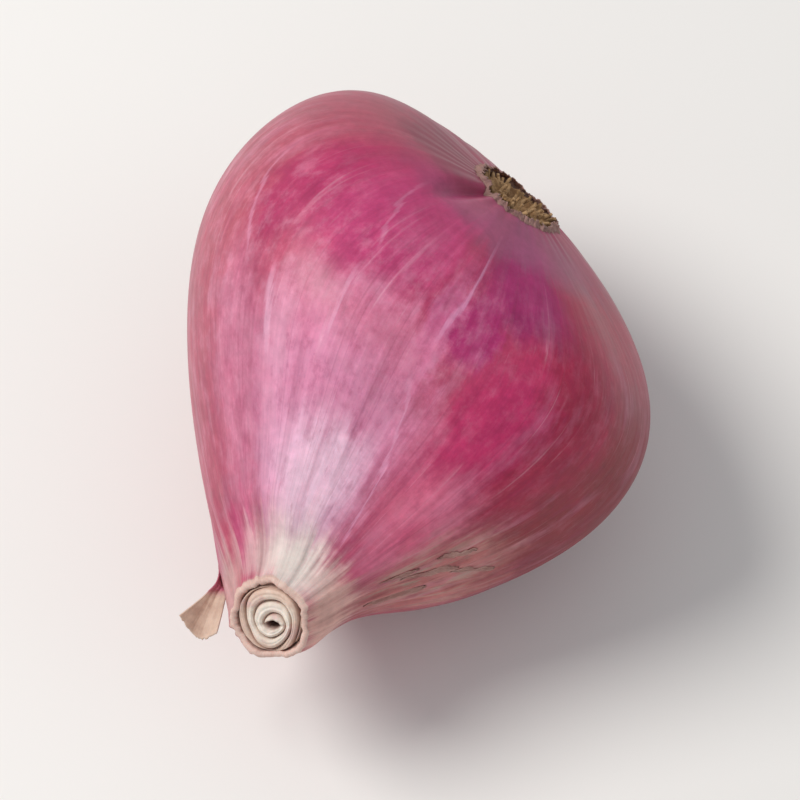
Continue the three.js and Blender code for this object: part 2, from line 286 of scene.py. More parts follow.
def tube_faces(rows, columns):
    """Quads between rows of points that close round on themselves, and a fan at each end's own point."""
    at = lambda row, column: 1 + row * columns + column % columns
    last = 1 + rows * columns
    faces, corners = [], []
    for j in range(columns):
        faces.append((0, at(0, j + 1), at(0, j)))
        corners.append(((-1, j + 0.5), (0, j + 1), (0, j)))
    for i in range(rows - 1):
        for j in range(columns):
            faces.append((at(i, j), at(i, j + 1), at(i + 1, j + 1), at(i + 1, j)))
            corners.append(((i, j), (i, j + 1), (i + 1, j + 1), (i + 1, j)))
    for j in range(columns):
        faces.append((at(rows - 1, j), at(rows - 1, j + 1), last))
        corners.append(((rows - 1, j), (rows - 1, j + 1), (rows, j + 0.5)))
    return faces, corners


def build_bulb_skin():
    angle = np.linspace(0, 2 * np.pi, SEGMENTS, endpoint=False) - np.pi / 2
    body_end = 1 - RIM_RADIUS / AXIS_LENGTH
    share = (np.arange(1, BODY_RINGS + 1) / BODY_RINGS) ** RING_CROWDING * body_end
    body = sink_plate_recess(skin_at(share[:, None], angle[None, :]))
    end_rings = np.stack(list(neck_end(angle)))
    rows = press_flat(np.concatenate([body, end_rings]))
    middle, outward = SEAT[0], SEAT[1]
    points = np.concatenate([[middle - outward * PLATE_DEPTH], rows.reshape(-1, 3), [rows[-1].mean(0)]])
    faces, corners = tube_faces(len(rows), SEGMENTS)
    past_end = 1 + 0.01 * np.arange(1, len(end_rings) + 1)
    along = np.concatenate([share, past_end])
    v_of = lambda row: 0.0 if row < 0 else along[min(row, len(along) - 1)]
    uv = [(column / SEGMENTS, v_of(row)) for corner in corners for row, column in corner]
    return make_mesh("bulb_skin", points, faces, uv)


bulb_skin = build_bulb_skin()


class Value:
    """A number on its way through a material or a tree of nodes. The usual operators add Math nodes."""

    def __init__(self, graph, socket):
        self.graph, self.socket = graph, socket

    def math(self, operation, *others):
        inputs = {i: other for i, other in enumerate((self, *others))}
        return self.graph.node("ShaderNodeMath", {"operation": operation}, inputs).value()

    def __add__(self, other):
        return self.math("ADD", other)

    def __sub__(self, other):
        return self.math("SUBTRACT", other)

    def __rsub__(self, other):
        return self.graph.node("ShaderNodeMath", {"operation": "SUBTRACT"}, {0: other, 1: self}).value()

    def __mul__(self, other):
        return self.math("MULTIPLY", other)

    def __truediv__(self, other):
        return self.math("DIVIDE", other)

    def __abs__(self):
        return self.math("ABSOLUTE")

    __radd__, __rmul__ = __add__, __mul__

    def ramp(self, start, end, low=0.0, high=1.0):
        """low before start, high after end, with a soft change between them."""
        settings = {"interpolation_type": "SMOOTHSTEP"}
        inputs = {"Value": self, "From Min": start, "From Max": end, "To Min": low, "To Max": high}
        return self.graph.node("ShaderNodeMapRange", settings, inputs).value()


class Made:
    """A node that has been made, to take its outputs from."""

    def __init__(self, graph, node):
        self.graph, self.node = graph, node

    def out(self, name=0):
        return self.node.outputs[name]

    def value(self, name=0):
        return Value(self.graph, self.node.outputs[name])


class Graph:
    """A node tree. One method adds any node, from its type, its settings and its sockets' values."""

    def __init__(self, tree):
        self.tree = tree

    def node(self, kind, settings=None, inputs=None):
        node = self.tree.nodes.new(kind)
        for name, setting in (settings or {}).items():
            setattr(node, name, setting)
        for name, given in (inputs or {}).items():
            socket = node.inputs[name]
            if isinstance(given, Value):
                given = given.socket
            if isinstance(given, bpy.types.NodeSocket):
                self.tree.links.new(given, socket)
            else:
                socket.default_value = given
        return Made(self, node)


def shade(code):
    """A colour from its usual six-digit code, in the linear values that materials use."""
    parts = [int(code[i : i + 2], 16) / 255 for i in (0, 2, 4)]
    linear = [p / 12.92 if p <= 0.04045 else ((p + 0.055) / 1.055) ** 2.4 for p in parts]
    return (*linear, 1.0)


class Finish(Graph):
    """A material with one Principled shader, whose colour is laid on in steps."""

    def __init__(self, name, base, **constants):
        self.material = bpy.data.materials.new(name)
        self.material.use_nodes = True
        super().__init__(self.material.node_tree)
        self.tree.nodes.clear()
        inputs = {name.replace("_", " "): constant for name, constant in constants.items()}
        self.shader = self.node("ShaderNodeBsdfPrincipled", inputs=inputs)
        self.node("ShaderNodeOutputMaterial", inputs={"Surface": self.shader.out()})
        self.color = shade(base)

    def coat(self, code, mask, blend_type="MIX"):
        """Lays a colour over what is there, as strongly as the mask says."""
        settings = {"data_type": "RGBA", "blend_type": blend_type}
        mix = self.node("ShaderNodeMix", settings, {"Factor": mask})
        over = code.socket if isinstance(code, Value) else shade(code)
        for name, given in (("A_Color", self.color), ("B_Color", over)):
            socket = next(s for s in mix.node.inputs if s.identifier == name)
            if isinstance(given, bpy.types.NodeSocket):
                self.tree.links.new(given, socket)
            else:
                socket.default_value = given
        self.color = next(s for s in mix.node.outputs if s.identifier == "Result_Color")

    def tone(self, value):
        """Darkens or brightens what is there by a value near 1."""
        self.coat(value, 1.0, "MULTIPLY")

    def noise(self, where, scale, detail=3.0, roughness=0.55):
        inputs = {"Vector": where, "Scale": scale, "Detail": detail, "Roughness": roughness}
        return self.node("ShaderNodeTexNoise", inputs=inputs).value("Fac")

    def done(self, roughness=None, bump=None, bump_mm=0.03, strength=1.0):
        socket = self.shader.node.inputs["Base Color"]
        if isinstance(self.color, bpy.types.NodeSocket):
            self.tree.links.new(self.color, socket)
        else:
            socket.default_value = self.color
        if isinstance(roughness, Value):
            self.tree.links.new(roughness.socket, self.shader.node.inputs["Roughness"])
        if bump is not None:
            inputs = {"Height": bump, "Distance": bump_mm * MM, "Strength": strength}
            normal = self.node("ShaderNodeBump", inputs=inputs).out()
            self.tree.links.new(normal, self.shader.node.inputs["Normal"])
        return self.material


# Colours that the skin takes in places. Each has its angle round the bulb in degrees, where right is 0
# and the top is 90, its share of the way from root to neck, its reach round and along, the softness of
# its edge and its strength.
SKIN_ZONES = [
    ("983850", 225, 0.35, 40, 0.35, 0.6, 0.7),  # dusky underside
    ("862C40", -45, 0.38, 34, 0.3, 0.6, 0.8),
    ("B0545E", -70, 0.78, 70, 0.14, 0.6, 0.7),
    ("A84E60", 162, 0.36, 28, 0.5, 0.5, 0.85),  # dusty rose on the left flank, its greyish cast partly a painted sheen along the edge
    ("86262F", 6, 0.5, 28, 0.32, 0.5, 0.95),  # maroon on the right flank, deepened with painted shade
    ("B03E54", 14, 0.11, 34, 0.09, 0.6, 0.8),  # which is rosier near the root
    ("A82046", 38, 0.4, 18, 0.3, 0.5, 0.9),  # crimson beside it
    ("BB2F64", 54, 0.48, 12, 0.2, 0.5, 0.85),
    ("C24478", 106, 0.17, 22, 0.17, 0.5, 0.85),  # magenta over the top
    ("AC2E60", 132, 0.22, 8, 0.13, 0.6, 0.75),  # deep streaks on the left lobe
    ("992062", 58, 0.13, 17, 0.1, 0.5, 0.9),  # violet bloom near the root
    ("A62A68", 70, 0.28, 7, 0.12, 0.3, 0.9),  # violet patch with a harder lower end
    ("CC6E9A", 80, 0.33, 4.5, 0.18, 0.5, 0.7),  # pale vein beside it
    ("D27C9C", 99, 0.43, 22, 0.12, 0.5, 0.75),  # the pink pales towards the neck
    ("D68AAC", 100, 0.65, 30, 0.18, 0.5, 0.9),
    ("DEA8C4", 98, 0.8, 26, 0.13, 0.5, 0.9),  # lilac pink
    ("E8C6D8", 95, 0.8, 14, 0.12, 0.7, 0.75),  # palest streaks
    ("E0ACC4", 121, 0.54, 5, 0.15, 0.7, 0.4),
    ("C0728E", 136, 0.64, 10, 0.24, 0.5, 0.85),  # rose left of the lapped edge
    ("AC5268", 154, 0.68, 10, 0.2, 0.5, 0.8),
    ("D87290", 46, 0.74, 16, 0.12, 0.5, 0.85),  # rose to the right of the pale part
    ("CA5074", 43, 0.755, 7, 0.035, 0.6, 0.7),
    ("C27A76", 10, 0.76, 24, 0.12, 0.5, 0.85),  # dry rose brown under the right side
    ("DCB0A4", 16, 0.945, 50, 0.07, 0.5, 0.9),  # tan at the right of the neck
    ("CE969E", 142, 0.94, 16, 0.04, 0.6, 0.8),
    ("B44A70", 147, 0.885, 5, 0.055, 0.6, 0.8),  # crimson stripes beside the lapped edge
    ("C4587E", 134, 0.87, 3.5, 0.05, 0.6, 0.7),
    ("BC9290", 185, 0.96, 30, 0.07, 0.5, 0.9),
    ("DCCFC8", 92, 0.96, 34, 0.085, 0.8, 1.0),  # cream over the top of the neck
    ("9A5878", 58, 0.045, 60, 0.035, 0.6, 0.7),  # dusk round the root plate
    ("862444", 150, 0.022, 45, 0.022, 0.6, 0.8),
    ("C07088", 101, 0.036, 8, 0.02, 0.9, 0.4),  # and a lighter fold over it
]

# Pale veins that stand out: colour, angle and share at the middle, lean in degrees over the whole length,
# reach either way as a share, half-width in degrees and strength.
PALE_VEINS = [
    ("E8B4CE", 124, 0.5, -12, 0.1, 1.4, 0.45),
    ("E4A8C4", 106, 0.4, 0, 0.12, 1.0, 0.4),
    ("D898BC", 77.5, 0.22, 15, 0.15, 1.5, 0.55),
    ("DC9CBC", 73, 0.68, -38, 0.2, 0.8, 0.45),
    ("D890B0", 111, 0.15, -70, 0.08, 0.9, 0.35),
    ("D898B4", 140, 0.3, -45, 0.12, 0.8, 0.35),
]


def skin_finish():
    finish = Finish("pink_papery_skin", "B04060", Subsurface_Weight=0.12, Subsurface_Scale=0.0015,
                    Subsurface_Radius=(1.0, 0.35, 0.3), Specular_IOR_Level=0.27,
                    Coat_Weight=0.06, Coat_Roughness=0.28)
    uv = finish.node("ShaderNodeUVMap", {"uv_map": "skin"}).out()
    split = finish.node("ShaderNodeSeparateXYZ", inputs={0: uv})
    degrees = split.value("X") * 360 - 90
    along = split.value("Y")
    turn = degrees * math.radians(1)
    place = finish.node("ShaderNodeTexCoord").out("Object")

    def veined(scale, stretch, detail=3.0, roughness=0.55):
        """Noise drawn out from root to neck, and closed round the bulb."""
        ring = finish.node("ShaderNodeCombineXYZ", inputs={
            0: turn.math("COSINE"), 1: turn.math("SINE"), 2: along * stretch})
        return finish.noise(ring.out(), scale, detail, roughness)

    broad = veined(2.4, 1.2, detail=2.0)
    medium = veined(6.5, 0.55, detail=4.0, roughness=0.6)
    vein_map = veined(8.0, 0.05, detail=1.0)
    fine = veined(24.0, 0.2, detail=4.0, roughness=0.6)
    hair = veined(85.0, 0.08, detail=2.0)
    cloud = finish.noise(place, 330, detail=5.0, roughness=0.65)
    cell = finish.noise(place, 1500, detail=3.0, roughness=0.6)
    crinkle = veined(15.0, 0.7, detail=4.0, roughness=0.65)
    mottle = veined(15.0, 1.3, detail=5.0, roughness=0.68)

    streaked_degrees = degrees + (cloud - 0.5) * 14 + (medium - 0.5) * 12
    streaks = (fine - 0.5) * 0.07 + (medium - 0.5) * 0.14 + (cloud - 0.5) * 0.08
    streaked_along = along + streaks * along.ramp(0.0, 0.2, 0.2, 1.0)
    here = finish.node("ShaderNodeCombineXYZ", inputs={0: streaked_degrees, 1: streaked_along}).out()

    def vector(operation, *inputs):
        return finish.node("ShaderNodeVectorMath", {"operation": operation}, dict(enumerate(inputs)))

    def zone(angle, share, wide, long, softness, strength):
        away = vector("SUBTRACT", here, (angle, share, 0)).out()
        shorter = vector("WRAP", away, (180, 9, 1), (-180, -9, -1)).out()
        far = vector("LENGTH", vector("MULTIPLY", shorter, (1 / wide, 1 / long, 0)).out()).value("Value")
        return far.ramp(1 + softness, 1 - softness, 0, strength)

    finish.coat("9C3A5C", broad.ramp(0.4, 0.65, 0, 0.5))
    for code, *reach in SKIN_ZONES:
        finish.coat(code, zone(*reach))
    open_skin = along.ramp(0.02, 0.14)
    body = along.ramp(0.04, 0.22) * along.ramp(0.97, 0.86)
    finish.coat("E4A0C0", medium.ramp(0.52, 0.72, 0, 0.2) * body)
    finish.coat("8C2A55", medium.ramp(0.48, 0.3, 0, 0.24) * body)
    paler_side = degrees.ramp(45, 95, 0.4, 1.0)
    finish.coat("E0A0B8", mottle.ramp(0.44, 0.7, 0, 0.24) * paler_side * body)
    finish.coat("8E2450", mottle.ramp(0.5, 0.3, 0, 0.28) * body)
    crinkled = zone(13, 0.755, 20, 0.085, 0.9, 1.0)
    finish.coat("B59A8C", crinkle.ramp(0.47, 0.58, 0, 0.8) * crinkled)
    finish.coat("7A3A40", crinkle.ramp(0.44, 0.34, 0, 0.5) * crinkled)
    seldom = medium.ramp(0.42, 0.58)
    pale_lines = abs(vein_map - 0.5).ramp(0.018, 0.0, 0, 0.17) * fine.ramp(0.45, 0.6)
    finish.coat("F0CBDA", pale_lines * seldom * body)
    finish.coat("7E2448", abs(vein_map - 0.6).ramp(0.02, 0.0, 0, 0.16) * body)
    for code, angle, share, lean, reach, half_width, strength in PALE_VEINS:
        aside = abs(degrees + (fine - 0.5) * 5 - (along - share) * lean - angle)
        length = abs(along - share).ramp(reach * 1.2, reach * 0.5)
        finish.coat(code, aside.ramp(half_width, half_width * 0.2, 0, strength) * length)
    finish.tone(1 + (fine - 0.5) * 0.34 * open_skin)
    finish.tone(1 + (hair - 0.5) * 0.2 * open_skin)
    finish.tone(1 + (cloud - 0.5) * 0.6)
    finish.tone(1 + (cell - 0.5) * 0.35)
    finish.coat("DCC2B4", along.ramp(0.99, 1.004, 0, 0.85))
    finish.coat("BC958A", cloud.ramp(0.5, 0.66, 0, 0.6) * along.ramp(0.985, 1.0))
    finish.tone(1 + (hair - 0.5) * 0.5 * along.ramp(0.97, 0.995))
    # Painted shade: the inner side of the neck's rim and the hollow's wall, down between the rim and the
    # rolls, made dark brown.
    finish.coat("6A4038", along.ramp(1.08, 1.13))
    # Painted shade: the skin in the recess round the root plate and just outside it, under the torn
    # collar, made dark brown.
    plate_middle = tuple(SEAT[0] * MM)
    finish.coat("6A4C40", vector("DISTANCE", place, plate_middle).value("Value").ramp(4.2 * MM, 3.7 * MM))
    roughness = 0.4 + (cloud - 0.5) * 0.2 + (fine - 0.5) * 0.15 + along.ramp(0.88, 0.98, 0, 0.2)
    height = (fine * 0.8 + hair * 0.4) * open_skin + cell * 0.25 + cloud * 0.6
    return finish.done(roughness, height, bump_mm=0.05, strength=0.6)


bulb_skin.data.materials.append(skin_finish())
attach(bulb_skin, "root")
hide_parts("bulb")

# ---------------------------------------------------------------------------------------------
# Neck rolls: the dry leaf ends inside the neck, wound round each other like a scroll as they
# withered. They fill the neck up to its rim: blunt cream turns with creases between them, each of
# a few papery layers, round a slit of a hollow that lies off the middle.

ROLL_PITCH = 0.78
ROLL_BASE = 0.24  # how far ahead of the rim's foot their tops are
CREASE_DEPTH = 0.3
ROLL_HOLLOW = {"radius": 0.34, "depth": 1.2, "across": 0.42, "up": -0.2}
ROLL_RINGS, ROLL_SEGMENTS = 116, 176


def build_neck_rolls():
    place, heading, normal = axis_at(np.array(1 - RIM_RADIUS / AXIS_LENGTH))
    outer = NECK_END_RADIUS - 2 * RIM_RADIUS - 0.03
    radius, angle = np.meshgrid(np.linspace(outer, outer / ROLL_RINGS, ROLL_RINGS),
                                np.linspace(0, 2 * np.pi, ROLL_SEGMENTS, endpoint=False), indexing="ij")
    lopsided = 1 + 0.1 * np.sin(2 * angle + 1) + 0.06 * np.sin(3 * angle + 2.2) * smooth(radius / outer)
    turns = (outer - radius * lopsided) / ROLL_PITCH - angle / (2 * np.pi)
    crease = np.abs(2 * (turns - np.floor(turns)) - 1)
    unwound = angle + 2 * np.pi * np.floor(turns)
    rise = 0.1 * np.sin(1.3 * unwound + 0.4) + 0.06 * np.sin(2.9 * unwound) + 0.03 * np.sin(7.3 * unwound)
    layers = 0.025 * np.cos(6 * np.pi * (turns - np.floor(turns))) * (1 - crease)
    inward = 1 - radius / outer
    hollow = smooth((ROLL_HOLLOW["radius"] + 0.12 - radius) / 0.24)
    ahead = ROLL_BASE + (rise + layers - 0.16 * crease**2) * (1 - hollow) + 0.12 * smooth(inward / 0.5)
    ahead = ahead - CREASE_DEPTH * smooth((crease - 0.66) / 0.34) * (1 - hollow)
    ahead = ahead - ROLL_HOLLOW["depth"] * hollow - 0.7 * smooth((radius - outer + 0.16) / 0.16)
    slit = math.radians(22)
    along_slit = radius * np.cos(angle - slit) * (1 + 0.45 * inward**2)
    across_slit = radius * np.sin(angle - slit) * (1 - 0.4 * inward**2)
    across = along_slit * math.cos(slit) - across_slit * math.sin(slit)
    across = across + ROLL_HOLLOW["across"] * smooth(inward)
    up = along_slit * math.sin(slit) + across_slit * math.cos(slit) + ROLL_HOLLOW["up"] * smooth(inward)
    top = place + SHIFT + across[..., None] * SIDEWAYS + up[..., None] * normal
    top = top + ahead[..., None] * heading
    foot = top[:1] - (ahead[0][:, None] + HOLLOW_DEPTH - 0.1) * heading
    rows = np.concatenate([foot, top])
    points = np.concatenate([[rows[0].mean(0)], rows.reshape(-1, 3), [rows[-1].mean(0)]])
    faces, corners = tube_faces(len(rows), ROLL_SEGMENTS)
    shares = np.concatenate([[1.0], radius[:, 0] / outer])

    def uv_of(row, column):
        row = min(max(row, 0), len(rows) - 1)
        return shares[row], crease[max(row - 1, 0), int(column) % ROLL_SEGMENTS]

    uv = [uv_of(*corner) for face in corners for corner in face]
    piece = make_mesh("neck_rolls", points, faces, uv)
    face_outward(piece)
    return piece


def face_outward(piece):
    """Turns every face of a closed piece to the outside."""
    mesh = bmesh.new()
    mesh.from_mesh(piece.data)
    bmesh.ops.recalc_face_normals(mesh, faces=mesh.faces)
    mesh.to_mesh(piece.data)
    mesh.free()


def rolls_finish():
    finish = Finish("cream_leaf_ends", "DCCDC0", Subsurface_Weight=0.15, Subsurface_Scale=0.001,
                    Subsurface_Radius=(1.0, 0.6, 0.4), Specular_IOR_Level=0.35)
    uv = finish.node("ShaderNodeUVMap", {"uv_map": "skin"}).out()
    split = finish.node("ShaderNodeSeparateXYZ", inputs={0: uv})
    out, crease = split.value("X"), split.value("Y")
    place = finish.node("ShaderNodeTexCoord").out("Object")
    blotch = finish.noise(place, 700, detail=4.0, roughness=0.6)
    grain = finish.noise(place, 3200, detail=2.0)
    finish.coat("CFAF9E", (out + (blotch - 0.5) * 0.6).ramp(0.55, 0.85, 0, 0.85))
    finish.coat("D0ACA8", blotch.ramp(0.48, 0.66, 0, 0.7))
    finish.coat("EFE6DC", (1 - crease).ramp(0.55, 0.95, 0, 0.6) * out.ramp(0.8, 0.5))
    # Painted shade: a darker tan laid in the creases between the turns.
    finish.coat("B08A7C", (crease + (blotch - 0.5) * 0.3).ramp(0.74, 0.97, 0, 0.5))
    # Painted shade: dark brown over the hollow in the middle of the rolls.
    finish.coat("6B3F38", out.ramp(0.24, 0.12, 0, 0.85))
    finish.tone(1 + (grain - 0.5) * 0.4)
    return finish.done(0.55 + (blotch - 0.5) * 0.3, grain * 0.5 + blotch, bump_mm=0.05, strength=0.8)


neck_rolls = build_neck_rolls()
neck_rolls.data.materials.append(rolls_finish())
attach(neck_rolls, "root")

# ---------------------------------------------------------------------------------------------
# Neck flap: a torn tongue of dry outer skin that still hangs on at the left of the neck. It peels
# off as a narrow strip, flares to a ragged end, is as thin as paper and droops a little.

FLAP_START, FLAP_ANGLE = 0.915, np.radians(203)
FLAP_ROOT_WIDTH = 1.4
FLAP_OUTER_EDGE, FLAP_INNER_EDGE = (2.15, 1.75), (0.7, 3.05)  # how far each gets outwards and ahead
FLAP_TIP = 1.1
FLAP_DROOP = 0.8
FLAP_CLEARANCE = 0.65
FLAP_STRIP = {"back": 0.095, "turn": np.radians(14)}  # the length and width of the part that holds on
PAPER_THICKNESS = 0.1


def unit(x, y, z):
    return np.array([x, y, z]) / math.sqrt(x * x + y * y + z * z)


def dry_skin_finish(name, pale, dark, root=None, scale_mm=1.5):
    """Withered outer skin: mottled, with veins along the piece's own length, and maybe a redder root."""
    finish = Finish(name, pale, Subsurface_Weight=0.1, Subsurface_Scale=0.001,
                    Subsurface_Radius=(1.0, 0.6, 0.4), Specular_IOR_Level=0.35,
                    Sheen_Weight=0.08, Sheen_Roughness=0.5)
    uv = finish.node("ShaderNodeUVMap", {"uv_map": "skin"}).out()
    place = finish.node("ShaderNodeTexCoord").out("Object")
    drawn = finish.node("ShaderNodeVectorMath", {"operation": "MULTIPLY"}, {0: uv, 1: (1.0, 0.12, 0)})
    fibre = finish.noise(drawn.out(), 40, detail=4.0)
    blotch = finish.noise(place, 500 / scale_mm, detail=4.0, roughness=0.6)
    grain = finish.noise(place, 2600, detail=2.0)
    finish.coat(dark, blotch.ramp(0.45, 0.68, 0, 0.6))
    finish.coat(dark, fibre.ramp(0.55, 0.75, 0, 0.45))
    if root:
        length = finish.node("ShaderNodeSeparateXYZ", inputs={0: uv}).value("Y")
        finish.coat(root, (length + (blotch - 0.5) * 0.25).ramp(0.62, 0.42, 0, 0.95))
    finish.tone(1 + (fibre - 0.5) * 0.35)
    finish.tone(1 + (grain - 0.5) * 0.3)
    height = fibre + grain * 0.4 + blotch
    return finish.done(0.6 + (blotch - 0.5) * 0.3, height, bump_mm=0.05, strength=0.7)


def grid_normals(points):
    along, across = np.gradient(points, axis=0), np.gradient(points, axis=1)
    normal = np.cross(along, across)
    return normal / np.maximum(np.linalg.norm(normal, axis=-1, keepdims=True), 1e-9)


def sheet_parts(points, thickness, first=0):
    """Points, faces and UVs of a closed thin sheet about a grid of points."""
    rows, columns = points.shape[:2]
    lift = grid_normals(points) * thickness / 2
    both = np.concatenate([(points + lift).reshape(-1, 3), (points - lift).reshape(-1, 3)])
    at = lambda side, i, j: first + side * rows * columns + i * columns + j
    faces, uv = [], []

    def add(corners):
        faces.append([at(*corner) for corner in corners])
        uv.extend((j / (columns - 1), i / (rows - 1)) for _, i, j in corners)

    for i in range(rows - 1):
        for j in range(columns - 1):
            add([(0, i, j), (0, i + 1, j), (0, i + 1, j + 1), (0, i, j + 1)])
            add([(1, i, j), (1, i, j + 1), (1, i + 1, j + 1), (1, i + 1, j)])
        for j in (0, columns - 1):
            add([(0, i, j), (1, i, j), (1, i + 1, j), (0, i + 1, j)])
    for j in range(columns - 1):
        for i in (0, rows - 1):
            add([(0, i, j), (0, i, j + 1), (1, i, j + 1), (1, i, j)])
    return both, faces, uv


def make_sheets(name, grids, thickness):
    """One piece from several thin sheets."""
    points, faces, uv = [], [], []
    for grid in grids:
        more_points, more_faces, more_uv = sheet_parts(grid, thickness, first=sum(map(len, points)))
        points.append(more_points)
        faces += more_faces
        uv += more_uv
    piece = make_mesh(name, np.concatenate(points), faces, uv)
    face_outward(piece)
    return piece


def flap_grid():
    out, ahead = unit(-0.86, -0.5, 0), unit(0.44, -0.76, -0.48)
    lift = np.cross(ahead, out)
    root = bare_form(FLAP_START, FLAP_ANGLE) + SHIFT + out * FLAP_CLEARANCE
    u, v = np.meshgrid(np.linspace(-1, 1, 90), np.linspace(0, 1, 34), indexing="ij")
    free, held = np.maximum(u, 0), np.maximum(-u, 0)
    reach_out = (FLAP_OUTER_EDGE[0] + (FLAP_INNER_EDGE[0] - FLAP_OUTER_EDGE[0]) * v) * free**1.15
    reach_ahead = (FLAP_OUTER_EDGE[1] + (FLAP_INNER_EDGE[1] - FLAP_OUTER_EDGE[1]) * v) * free
    ragged = 0.05 * ribs(0, v * 6, range(2, 15, 2), seed=51) * free**3
    tip = FLAP_TIP * np.sin(np.pi * v) * free**2 + ragged
    curl = 0.3 * (np.abs(2 * v - 1) ** 3) * free - 0.3 * np.sin(np.pi * v)
    crinkle = 0.035 * ribs(u, v * 3, range(2, 9, 2), seed=52, drift=4)
    hanging = root + (reach_out + (0.5 - v) * FLAP_ROOT_WIDTH - held * 0.5)[..., None] * out
    hanging = hanging + (reach_ahead + tip - held * 1.6)[..., None] * ahead
    hanging = hanging + (crinkle - curl - FLAP_DROOP * free**2)[..., None] * lift
    share = FLAP_START + 0.012 - FLAP_STRIP["back"] * held
    turn = FLAP_ANGLE + FLAP_STRIP["turn"] * (v - 0.5) * (1 - 0.93 * held**1.5)
    on_skin = skin_at(share, turn, 0.06 - 0.14 * smooth((held - 0.3) / 0.7))
    grip = smooth((held + 0.05) / 0.55)[..., None]
    return hanging * (1 - grip) + on_skin * grip


neck_flap = make_sheets("neck_skin_flap", [flap_grid()], PAPER_THICKNESS)
neck_flap.data.materials.append(dry_skin_finish("tan_dry_skin", "D0B4A2", "A07C6E", root="A94C68"))
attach(neck_flap, "root")
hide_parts("skin_flap")

# ---------------------------------------------------------------------------------------------
# Root plate: the disc of dry cork at the root end that the roots grew from. It is lumpy, cracked
# outwards from its middle, raised towards its edge where the roots stood, and sunk in the skin.

CORK_RINGS, CORK_SEGMENTS = 44, 120
CORK_RADIUS = PLATE_RADIUS + 0.12
PLATE_SINK = 0.9


def in_seat(across_mm, upward_mm, outward_mm):
    """A place in the shared frame from distances across the root plate and out of it."""
    middle, outward, across, upward = SEAT
    in_plane = across_mm[..., None] * across + upward_mm[..., None] * upward
    return middle + in_plane + outward_mm[..., None] * outward


def lumps(x, y, scale, seed):
    """Smooth, uneven bumps between about -1 and 1."""
    places = zip(x.ravel(), y.ravel())
    flat = [noise.fractal(Vector((a * scale, b * scale, seed)), 0.7, 2.1, 4) for a, b in places]
    return np.reshape(flat, x.shape)


def build_cork():
    radius, angle = np.meshgrid(np.linspace(1, 0.02, CORK_RINGS) * CORK_RADIUS,
                                np.linspace(0, 2 * np.pi, CORK_SEGMENTS, endpoint=False), indexing="ij")
    x, y = radius * np.cos(angle), radius * np.sin(angle)
    share = radius / CORK_RADIUS
    edge = 1 + 0.05 * lumps(np.cos(angle), np.sin(angle), 3.0, 4.0)
    bed = -PLATE_SINK * (0.85 - 0.35 * bell(share, 0.78, 0.2)) - 0.5 * smooth((share - 0.9) / 0.1)
    rough = 0.16 * lumps(x, y, 1.1, 1.0) + 0.07 * lumps(x, y, 3.4, 2.0)
    spokes = np.abs(lumps(np.cos(angle), np.sin(angle), 7.0, 3.0))
    cracks = -0.16 * smooth((spokes - 0.42) / -0.3) * bell(share, 0.5, 0.3)
    top = in_seat(x * edge, y * edge, bed + rough + cracks)
    foot = in_seat(x[:1] * edge[:1], y[:1] * edge[:1], np.full((1, CORK_SEGMENTS), -PLATE_DEPTH))
    rows = np.concatenate([foot, top])
    points = np.concatenate([[rows[0].mean(0)], rows.reshape(-1, 3), [rows[-1].mean(0)]])
    faces, corners = tube_faces(len(rows), CORK_SEGMENTS)
    piece = make_mesh("root_plate_cork", points, faces)
    face_outward(piece)
    return piece


def cork_finish(name, pale, dark, deep):
    finish = Finish(name, pale, Specular_IOR_Level=0.25)
    place = finish.node("ShaderNodeTexCoord").out("Object")
    blotch = finish.noise(place, 620, detail=5.0, roughness=0.65)
    grain = finish.noise(place, 1900, detail=4.0, roughness=0.7)
    spot = finish.noise(place, 1100, detail=2.0)
    finish.coat(dark, blotch.ramp(0.42, 0.62, 0, 0.85))
    finish.coat(deep, spot.ramp(0.58, 0.72, 0, 0.8))
    finish.tone(1 + (grain - 0.5) * 0.9)
    return finish.done(0.8 + (blotch - 0.5) * 0.3, grain + blotch, bump_mm=0.12, strength=0.9)


root_plate_cork = build_cork()
root_plate_cork.data.materials.append(cork_finish("dry_cork", "B08A62", "805C3C", "4A3224"))
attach(root_plate_cork, "root")
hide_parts("root_plate")

# ---------------------------------------------------------------------------------------------
# Root stubs: what is left of the roots, wiry dry stalks broken off short. They stand on the outer
# part of the plate, lean outwards, and each bends its own way.

STUBS = {"Count": 90, "Ring Radius": 2.85, "Length": 1.15, "Thickness": 0.17, "Seed": 7}
STUB_SPLAY = 0.75
STUB_BED = -1.05  # the height of their feet over the skin around the plate, so they start below it
GOLDEN_TURN = 2.39996  # spreads them evenly round the plate


